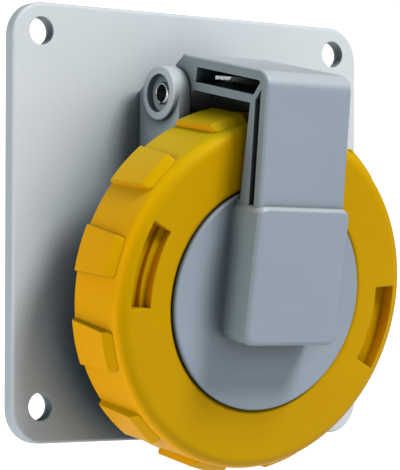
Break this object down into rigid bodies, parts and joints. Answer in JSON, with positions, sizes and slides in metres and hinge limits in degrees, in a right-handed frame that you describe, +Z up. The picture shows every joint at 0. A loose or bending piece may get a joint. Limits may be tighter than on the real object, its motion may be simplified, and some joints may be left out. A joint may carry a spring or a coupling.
{
  "type": "industrial panel socket",
  "caption": "Angled panel-mounting power socket with a sprung hinged lid and a bayonet locking ring that clamps the lid onto the sealed collar.",
  "frame": {"origin": "middle of the four fixing holes, on the flange's rear seating face", "axes": "+Z up the flange, +Y into the panel, the socket faces -Y, +X to the right seen from the front"},
  "size_m": [0.1, 0.0803, 0.1071],
  "materials": {
    "housing_grey": "fine satin moulded polyamide, light grey",
    "lid_grey": "fine satin moulded polyamide, mid grey",
    "ring_yellow": "semi-gloss moulded polyamide, signal yellow",
    "insert_black": "matt black moulded insulation",
    "seal": "matt elastomer",
    "brass": "turned brass",
    "steel": "zinc plated steel"
  },
  "bodies": {
    "base": {"housing": "housing_grey", "panel_gasket": "seal", "hinge_pin": "steel", "hinge_spring": "steel", "contact_carrier": "insert_black", "contact_retainer": "insert_black", "line_contact": "brass", "neutral_contact": "brass", "earth_contact": "brass", "contact_springs": "steel", "wire_clamps": "steel", "terminal_screws": "steel", "retainer_screws": "steel", "carrier_screws": "steel", "carrier_seal": "seal"},
    "lid": {"lid": "lid_grey", "lid_liner": "lid_grey", "lid_gasket": "seal", "liner_screws": "steel"},
    "ring": {"locking_ring": "ring_yellow"}
  },
  "joints": [
    {"name": "lid_hinge", "type": "hinge", "parent": "base", "child": "lid", "pos_m": [0, -0.0125, 0.0291], "axis": [-1, 0, 0], "range_deg": [0, 90], "stiffness_Nm_per_rad": 0.06, "springref_deg": -68.75, "deforming": ["hinge_spring"]},
    {"name": "ring_turn", "type": "hinge", "parent": "lid", "child": "ring", "pos_m": [0, -0.0325, -0.018], "axis": [0, -0.9848, -0.1736], "range_deg": [-40, 0]}
  ]
}
